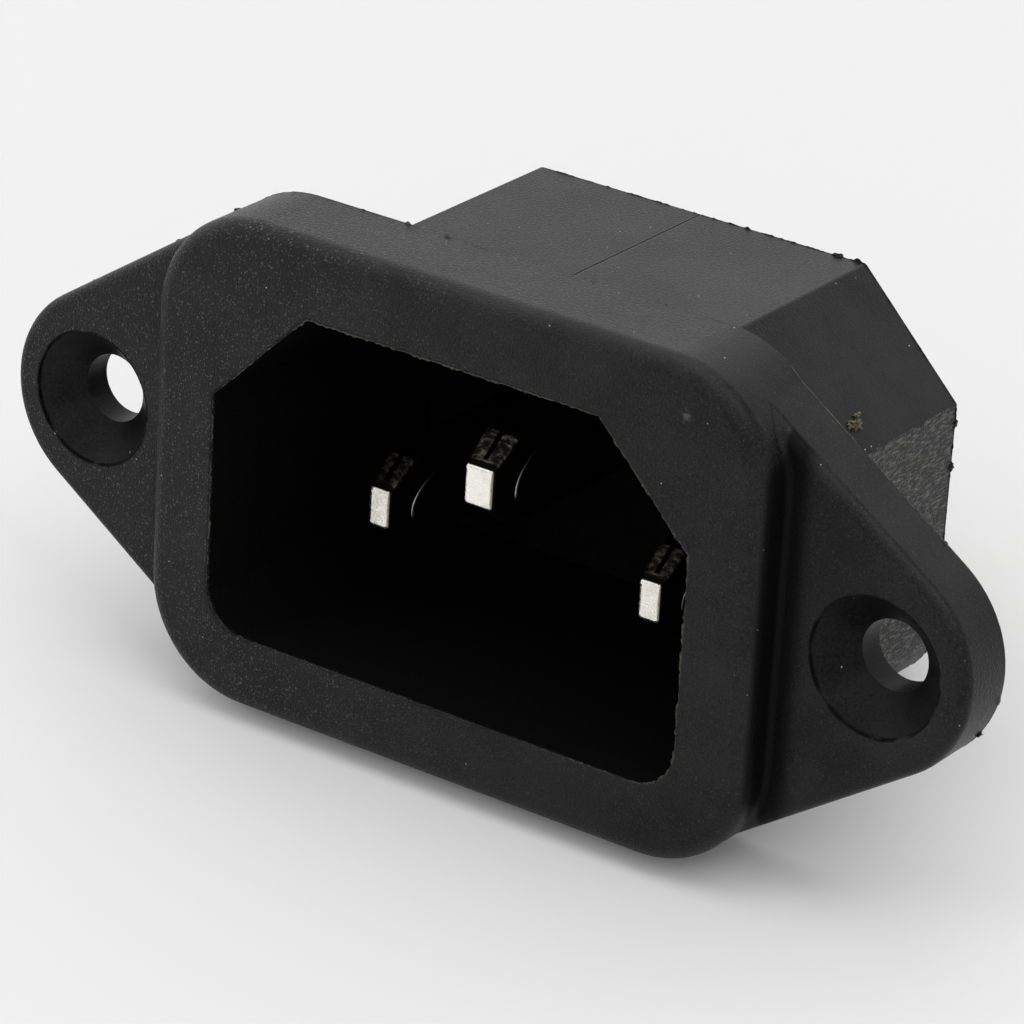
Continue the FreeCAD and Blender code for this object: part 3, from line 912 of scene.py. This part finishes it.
@dataclass
class LooseBits:
    """Small irregular bits that cling to the moulding."""

    name: str
    crumbs: tuple[Crumb, ...]
    roughness: float = 0.55
    subdivisions: int = 3
    step_between: float = 7.3
    lump_shift: tuple[float, float] = (1.9, 4.1)
    lumps: tuple[float, float] = (1.8, 4.0)

    def build(self, material: bpy.types.Material) -> bpy.types.Object:
        """Makes all the bits as one piece.

        Args:
            material: finish of the bits.

        Returns:
            The finished piece.
        """
        shape = bmesh.new()
        tree = BVHTree.FromObject(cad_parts["housing"], bpy.context.evaluated_depsgraph_get())
        coarse, fine = self.lumps
        for index, crumb in enumerate(self.crumbs):
            ball = bmesh.ops.create_icosphere(shape, subdivisions=self.subdivisions, radius=1.0)
            verts = ball["verts"]
            shift = Vector((self.step_between * index, *self.lump_shift))
            for vert in verts:
                swell = noise.noise(vert.co * coarse + shift) + noise.noise(vert.co * fine + shift)
                vert.co *= 1.0 + self.roughness * swell
            seat = tree.find_nearest(Vector(crumb.place) * MM)[0]
            bmesh.ops.scale(shape, vec=Vector(crumb.size) * MM, verts=verts)
            bmesh.ops.translate(shape, vec=seat, verts=verts)
        return join_housing(finish_mesh(shape, self.name), material)


def put_finish(piece: bpy.types.Object, material: bpy.types.Material) -> None:
    """Fills every material slot of an object."""
    for slot in piece.material_slots:
        slot.material = material


def join_housing(piece: bpy.types.Object, material: bpy.types.Material) -> bpy.types.Object:
    """Makes a piece part of the moulding.

    Args:
        piece: the piece, at the origin.
        material: its finish.

    Returns:
        The same piece.
    """
    piece.data.materials.append(material)
    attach(piece, ROOT)
    LOG.info("%s built", piece.name)
    return piece


@dataclass(frozen=True)
class Softbox:
    """A rectangular light that faces the inlet: place and size in metres, power in watts."""

    name: str
    place: Triple
    size: tuple[float, float]
    power: float

    def build(self) -> None:
        """Adds the light to the scene."""
        lamp = bpy.data.lights.new(self.name, "AREA")
        lamp.shape = "RECTANGLE"
        lamp.size, lamp.size_y = self.size
        lamp.energy = self.power
        holder = bpy.data.objects.new(self.name, lamp)
        bpy.context.scene.collection.objects.link(holder)
        holder.location = self.place
        holder.rotation_euler = (-Vector(self.place)).to_track_quat("-Z", "Y").to_euler()


@dataclass
class Studio:
    """Pale floor that the inlet leans back on, soft light and the camera."""

    floor_size: float = 3.0
    floor_segments: int = 8
    flash_room: float = 0.07 * MM
    body_start: float = 1.0 * MM
    floor_colour: Colour = (0.62, 0.62, 0.62, 1.0)
    # painted shade: the floor darkens a little behind the inlet
    floor_back_shade: Colour = (0.600, 0.600, 0.600, 1.0)
    floor_fade: Ramp = Ramp(0.0, 55.0)
    floor_waves: Pattern = Pattern(3.0, stretch=(0.01, 0.01, 0.01))
    floor_wave_mm: float = 8.0
    floor_roughness: float = 0.9
    floor_sheen: float = 0.1
    floor_glow: float = 0.03
    white: Colour = (1.0, 1.0, 1.0, 1.0)
    tent: Colour = (0.93, 0.93, 0.93, 1.0)
    # strength over the cosine of the angle from the camera's side, so the first end lies behind the inlet
    tent_light: Ramp = Ramp(-0.75, 0.243, 1.47, 0.75)
    softboxes: tuple[Softbox, ...] = (
        Softbox("overhead_softbox", (-0.20, -0.05, 1.00), (1.00, 0.90), 4.4),
        Softbox("left_softbox", (-0.46, -0.30, 0.34), (0.40, 0.30), 0.45),
        Softbox("right_softbox", (0.56, -0.14, 0.80), (0.70, 0.60), 2.8),
        Softbox("front_softbox", (0.25, -0.75, 0.45), (0.60, 0.40), 1.0),
    )
    azimuth: float = math.radians(34.14)
    elevation: float = math.radians(24.155)
    roll: float = math.radians(3.341)
    distance: float = 227.36 * MM
    aim: Triple = (0.288 * MM, 0.058 * MM, -0.205 * MM)
    lens: float = 191.085
    sensor_width: float = 36.0
    clip_start: float = 0.01

    def lean(self) -> float:
        """Angle by which the floor rises behind the flange to meet the body's lower rear edge.

        Returns:
            The angle in radians.
        """
        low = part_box("housing")[0].z
        points = [v.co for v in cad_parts["housing"].data.vertices if v.co.y > self.body_start]
        return min(math.atan2(point.z - low, point.y) for point in points)

    def build_floor(self) -> bpy.types.Object:
        """Makes the floor.

        Returns:
            The floor object.
        """
        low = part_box("housing")[0].z - self.flash_room
        shape = bmesh.new()
        segments = self.floor_segments
        bmesh.ops.create_grid(shape, x_segments=segments, y_segments=segments, size=self.floor_size / 2)
        turn = Matrix.Translation((0, 0, low)) @ Matrix.Rotation(self.lean(), 4, "X")
        bmesh.ops.transform(shape, matrix=turn, verts=shape.verts)
        floor = finish_mesh(shape, "studio_floor")
        floor.data.materials.append(self.paper())
        return floor

    def paper(self) -> bpy.types.Material:
        """Makes the floor's material, with painted shade that darkens it a little behind the inlet.

        Returns:
            The finished material.
        """
        finish = Finish("studio_paper")
        away = finish.compare("DOT_PRODUCT", finish.place(), (self.forward().x, self.forward().y, 0.0))
        waves = finish.product(finish.noise(self.floor_waves), self.floor_wave_mm)
        shade = finish.fade(finish.math("ADD", away, waves), self.floor_fade)
        finish.shade("Base Color", finish.tint(shade, self.floor_colour, self.floor_back_shade))
        finish.shade("Roughness", self.floor_roughness)
        finish.shade("Specular IOR Level", self.floor_sheen)
        finish.shade("Emission Color", self.white)
        path = finish.node("ShaderNodeLightPath").outputs
        seen = finish.largest(path["Is Camera Ray"], path["Is Glossy Ray"])
        finish.shade("Emission Strength", finish.product(seen, self.floor_glow))
        return finish.material

    def build_world(self) -> None:
        """Light of a white tent, brightest behind the inlet as the camera sees it."""
        world = bpy.data.worlds.new("studio_tent")
        bpy.context.scene.world = world
        world.use_nodes = True
        graph = Graph(world.node_tree)
        background = world.node_tree.nodes["Background"]
        background.inputs["Color"].default_value = self.tent
        direction = graph.node("ShaderNodeTexCoord").outputs["Generated"]
        towards = graph.compare("DOT_PRODUCT", direction, tuple(-self.forward()))
        graph.put(background.inputs["Strength"], graph.fade(towards, self.tent_light))

    def forward(self) -> Vector:
        """Finds the direction in which the camera looks.

        Returns:
            The direction, of length one.
        """
        level = math.cos(self.elevation)
        across, along = math.sin(self.azimuth), math.cos(self.azimuth)
        return Vector((-across * level, along * level, -math.sin(self.elevation)))

    def build_camera(self) -> None:
        """Camera at the photograph's viewing angle."""
        forward = self.forward()
        right = forward.cross(Vector((0, 0, 1))).normalized()
        right = Matrix.Rotation(-self.roll, 3, forward) @ right
        up = right.cross(forward)
        camera = bpy.data.cameras.new("photo_camera")
        camera.lens = self.lens
        camera.sensor_width = self.sensor_width
        camera.clip_start = self.clip_start
        holder = bpy.data.objects.new("photo_camera", camera)
        bpy.context.scene.collection.objects.link(holder)
        turned = Matrix((right, up, -forward)).transposed().to_4x4()
        holder.matrix_world = Matrix.Translation(Vector(self.aim) - forward * self.distance) @ turned
        bpy.context.scene.camera = holder

    def build(self) -> None:
        """Builds the whole studio."""
        self.build_floor()
        self.build_world()
        for softbox in self.softboxes:
            softbox.build()
        self.build_camera()
        bpy.context.scene.view_settings.view_transform = "Standard"


def finish_mesh(shape: bmesh.types.BMesh, name: str) -> bpy.types.Object:
    """Turns a bmesh into a linked object at the origin.

    Args:
        shape: the bmesh, which is freed.
        name: name of the object and its mesh.

    Returns:
        The new object.
    """
    mesh = bpy.data.meshes.new(name)
    shape.to_mesh(mesh)
    shape.free()
    piece = bpy.data.objects.new(name, mesh)
    bpy.context.scene.collection.objects.link(piece)
    return piece


def build_flash(plastic: bpy.types.Material) -> None:
    """Builds the flash round the mouth, the flange and the body.

    Args:
        plastic: the housing's material.
    """
    torn = MouldedPlastic("torn_plastic", dark=(0.008, 0.008, 0.0075, 1.0), worn=(0.06, 0.056, 0.044, 1.0))
    # the flange flash is pale partly as its own colour and partly as a painted highlight along the flange's
    # rear edge
    pale = MouldedPlastic("flash_with_painted_highlight", dark=(0.045, 0.043, 0.036, 1.0), worn=(0.13, 0.125, 0.105, 1.0))
    mouth = FlashRidge("mouth_flash", -4.60, Outline.MOUTH, 0.11, -0.05, seed=2.0, spike_mm=0.08)
    mouth.build(torn.build())
    flange = FlashRidge("flange_flash", -0.10, Outline.OUTER, 0.03, 0.05, seed=5.0, sink_mm=0.05)
    flange.build(pale.build())
    body = FlashRidge("body_flash", 13.52, Outline.OUTER, 0.06, 0.04, seed=11.0)
    body.build(plastic)


def build_bits(plastic: bpy.types.Material) -> None:
    """Builds the crumbs of moulding and the bit of fluff.

    Args:
        plastic: the housing's material.
    """
    LooseBits("moulding_bits", (
        Crumb((7.05, 13.55, 9.3), (0.30, 0.12, 0.12)),
        Crumb((23.7, -0.2, -2.9), (0.16, 0.18, 0.10)),
        Crumb((20.5, -2.92, -3.0), (0.22, 0.06, 0.10)),
        Crumb((13.42, 13.6, 3.36), (0.10, 0.14, 0.16)),
        Crumb((13.42, 13.6, 1.36), (0.10, 0.14, 0.20)),
        Crumb((-14.4, -0.4, 9.9), (0.34, 0.16, 0.12)),
    )).build(plastic)
    fluff = MouldedPlastic("brown_fluff", dark=(0.02, 0.017, 0.008, 1.0), worn=(0.15, 0.13, 0.075, 1.0))
    LooseBits("fluff_bit", (
        Crumb((12.5, 6.8, 5.2), (0.26, 0.34, 0.20)),
        Crumb((12.3, 7.3, 5.4), (0.12, 0.20, 0.12)),
    ), 0.8).build(fluff.build())


def main() -> None:
    """Builds and dresses everything in order."""
    logging.basicConfig(level=logging.INFO, format="%(name)s: %(message)s")
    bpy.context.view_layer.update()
    plastic = Housing().dress()
    LOG.info("housing dressed")
    build_flash(plastic)
    build_bits(plastic)
    ContactPins().dress()
    Studio().build()
    LOG.info("studio built")


if __name__ == "__main__":
    main()
